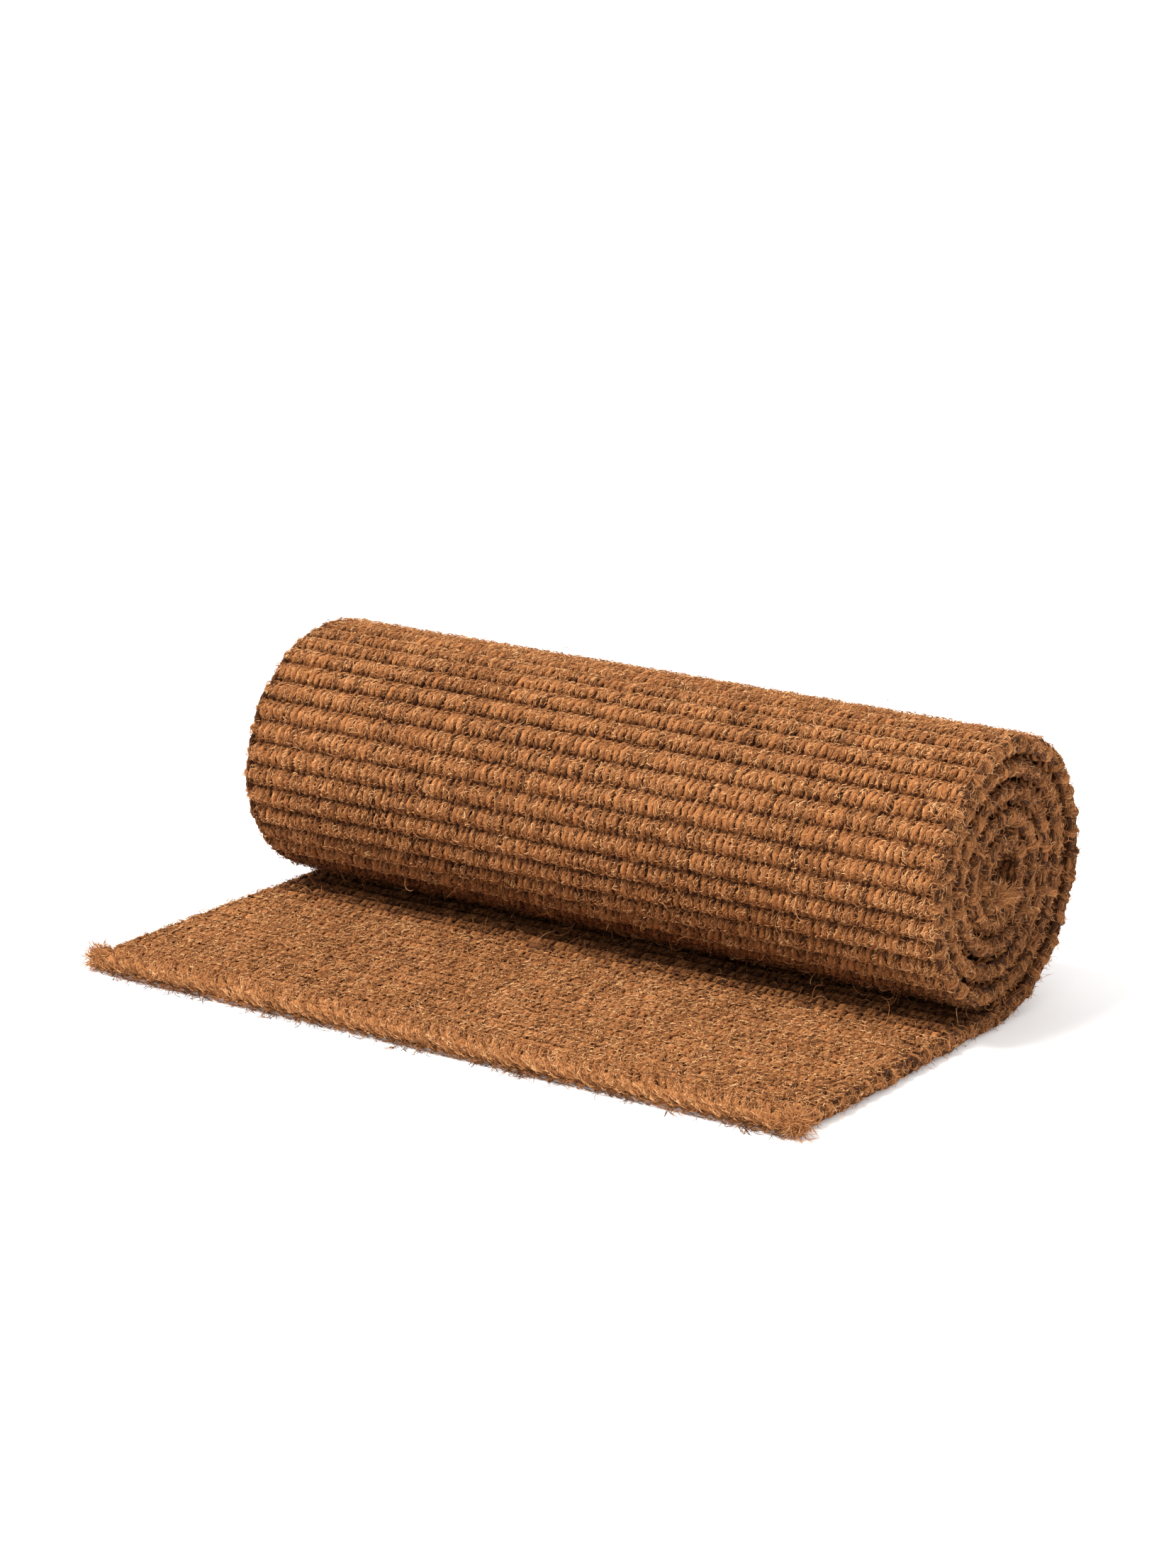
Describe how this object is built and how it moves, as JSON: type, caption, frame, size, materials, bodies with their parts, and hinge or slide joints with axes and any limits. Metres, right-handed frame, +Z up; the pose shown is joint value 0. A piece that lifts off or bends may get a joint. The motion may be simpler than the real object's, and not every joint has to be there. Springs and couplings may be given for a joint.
{
  "type": "door mat",
  "caption": "Rolled door mat of thick coir ribs with plaited ends, lying partly unrolled with its front edge free.",
  "frame": {"origin": "on the floor, under the middle of the whole mat as it lies partly rolled", "axes": "+X along the ribs and the roll's axis, towards the mat's right edge; +Y from the free front edge towards the roll; +Z up"},
  "size_m": [0.6, 0.4054, 0.211],
  "materials": {
    "coir_warp": "coarse spun coir yarn, matt, light tan-brown",
    "coir_weft": "thick loosely spun coir cord, matt, mid brown",
    "coir_plait": "braided coir yarn, matt, tan-brown",
    "coir_knot": "knotted and frayed coir yarn, matt, mid brown"
  },
  "bodies": {
    "laid_section": {"laid_warp": "coir_warp", "laid_weft": "coir_weft"},
    "front_flap_1": {"flap_1_warp": "coir_warp", "flap_1_weft": "coir_weft"},
    "front_flap_2": {"flap_2_warp": "coir_warp", "flap_2_weft": "coir_weft"},
    "front_flap_3": {"flap_3_warp": "coir_warp", "flap_3_weft": "coir_weft", "front_plait": "coir_plait", "front_knot_left": "coir_knot", "front_knot_right": "coir_knot"},
    "turn_strip_01": {"turn_strip_01_warp": "coir_warp", "turn_strip_01_weft": "coir_weft"},
    "turn_strip_02": {"turn_strip_02_warp": "coir_warp", "turn_strip_02_weft": "coir_weft"},
    "turn_strip_03": {"turn_strip_03_warp": "coir_warp", "turn_strip_03_weft": "coir_weft"},
    "turn_strip_04": {"turn_strip_04_warp": "coir_warp", "turn_strip_04_weft": "coir_weft"},
    "turn_strip_05": {"turn_strip_05_warp": "coir_warp", "turn_strip_05_weft": "coir_weft"},
    "turn_strip_06": {"turn_strip_06_warp": "coir_warp", "turn_strip_06_weft": "coir_weft"},
    "turn_strip_07": {"turn_strip_07_warp": "coir_warp", "turn_strip_07_weft": "coir_weft"},
    "turn_strip_08": {"turn_strip_08_warp": "coir_warp", "turn_strip_08_weft": "coir_weft"},
    "turn_strip_09": {"turn_strip_09_warp": "coir_warp", "turn_strip_09_weft": "coir_weft"},
    "turn_strip_10": {"turn_strip_10_warp": "coir_warp", "turn_strip_10_weft": "coir_weft"},
    "turn_strip_11": {"turn_strip_11_warp": "coir_warp", "turn_strip_11_weft": "coir_weft"},
    "turn_strip_12": {"turn_strip_12_warp": "coir_warp", "turn_strip_12_weft": "coir_weft"},
    "inner_roll": {"inner_coil_1_warp": "coir_warp", "inner_coil_1_weft": "coir_weft", "inner_coil_2_warp": "coir_warp", "inner_coil_2_weft": "coir_weft", "inner_coil_3_warp": "coir_warp", "inner_coil_3_weft": "coir_weft", "inner_coil_4_warp": "coir_warp", "inner_coil_4_weft": "coir_weft", "inner_coil_5_warp": "coir_warp", "inner_coil_5_weft": "coir_weft", "inner_coil_6_warp": "coir_warp", "inner_coil_6_weft": "coir_weft", "inner_coil_7_warp": "coir_warp", "inner_coil_7_weft": "coir_weft", "inner_coil_8_warp": "coir_warp", "inner_coil_8_weft": "coir_weft", "inner_plait": "coir_plait", "inner_knot_left": "coir_knot", "inner_knot_right": "coir_knot"}
  },
  "joints": [
    {"name": "flap_bend_1", "type": "hinge", "parent": "laid_section", "child": "front_flap_1", "pos_m": [0, -0.02538, 0.0078], "axis": [-1, 0, 0], "range_deg": [0, 35]},
    {"name": "flap_bend_2", "type": "hinge", "parent": "front_flap_1", "child": "front_flap_2", "pos_m": [0, -0.07458, 0.0078], "axis": [-1, 0, 0], "range_deg": [0, 35]},
    {"name": "flap_bend_3", "type": "hinge", "parent": "front_flap_2", "child": "front_flap_3", "pos_m": [0, -0.12378, 0.0078], "axis": [-1, 0, 0], "range_deg": [0, 35]},
    {"name": "unroll", "type": "hinge", "parent": "laid_section", "child": "turn_strip_01", "pos_m": [0, 0.08942, 0.00804], "axis": [-1, 0, 0], "range_deg": [0, 13.5]},
    {"name": "unroll_bend_02", "type": "hinge", "parent": "turn_strip_01", "child": "turn_strip_02", "pos_m": [0, 0.13683, 0.01943], "axis": [-1, 0, 0], "range_deg": [0, 25.27]},
    {"name": "unroll_bend_03", "type": "hinge", "parent": "turn_strip_02", "child": "turn_strip_03", "pos_m": [0, 0.17476, 0.0499], "axis": [-1, 0, 0], "range_deg": [0, 28.2]},
    {"name": "unroll_bend_04", "type": "hinge", "parent": "turn_strip_03", "child": "turn_strip_04", "pos_m": [0, 0.19374, 0.09456], "axis": [-1, 0, 0], "range_deg": [0, 30.62]},
    {"name": "unroll_bend_05", "type": "hinge", "parent": "turn_strip_04", "child": "turn_strip_05", "pos_m": [0, 0.18733, 0.14261], "axis": [-1, 0, 0], "range_deg": [0, 30.26]},
    {"name": "unroll_bend_06", "type": "hinge", "parent": "turn_strip_05", "child": "turn_strip_06", "pos_m": [0, 0.15753, 0.18094], "axis": [-1, 0, 0], "range_deg": [0, 27.88]},
    {"name": "unroll_bend_07", "type": "hinge", "parent": "turn_strip_06", "child": "turn_strip_07", "pos_m": [0, 0.11317, 0.20092], "axis": [-1, 0, 0], "range_deg": [0, 26.2]},
    {"name": "unroll_bend_08", "type": "hinge", "parent": "turn_strip_07", "child": "turn_strip_08", "pos_m": [0, 0.06451, 0.19927], "axis": [-1, 0, 0], "range_deg": [0, 26.79]},
    {"name": "unroll_bend_09", "type": "hinge", "parent": "turn_strip_08", "child": "turn_strip_09", "pos_m": [0, 0.02189, 0.17589], "axis": [-1, 0, 0], "range_deg": [0, 29.72]},
    {"name": "unroll_bend_10", "type": "hinge", "parent": "turn_strip_09", "child": "turn_strip_10", "pos_m": [0, -0.00345, 0.13461], "axis": [-1, 0, 0], "range_deg": [0, 33.08]},
    {"name": "unroll_bend_11", "type": "hinge", "parent": "turn_strip_10", "child": "turn_strip_11", "pos_m": [0, -0.00215, 0.08631], "axis": [-1, 0, 0], "range_deg": [0, 33.43]},
    {"name": "unroll_bend_12", "type": "hinge", "parent": "turn_strip_11", "child": "turn_strip_12", "pos_m": [0, 0.02559, 0.04664], "axis": [-1, 0, 0], "range_deg": [0, 30.8]},
    {"name": "unroll_bend_13", "type": "hinge", "parent": "turn_strip_12", "child": "inner_roll", "pos_m": [0, 0.06986, 0.0267], "axis": [-1, 0, 0], "range_deg": [0, 28.87]}
  ],
  "couplings": [
    {"joint": "unroll_bend_02", "follows": "unroll", "ratio": 1.8715},
    {"joint": "unroll_bend_03", "follows": "unroll", "ratio": 2.0886},
    {"joint": "unroll_bend_04", "follows": "unroll", "ratio": 2.2679},
    {"joint": "unroll_bend_05", "follows": "unroll", "ratio": 2.2413},
    {"joint": "unroll_bend_06", "follows": "unroll", "ratio": 2.0647},
    {"joint": "unroll_bend_07", "follows": "unroll", "ratio": 1.9406},
    {"joint": "unroll_bend_08", "follows": "unroll", "ratio": 1.9843},
    {"joint": "unroll_bend_09", "follows": "unroll", "ratio": 2.2008},
    {"joint": "unroll_bend_10", "follows": "unroll", "ratio": 2.4497},
    {"joint": "unroll_bend_11", "follows": "unroll", "ratio": 2.4754},
    {"joint": "unroll_bend_12", "follows": "unroll", "ratio": 2.2806},
    {"joint": "unroll_bend_13", "follows": "unroll", "ratio": 2.138}
  ]
}
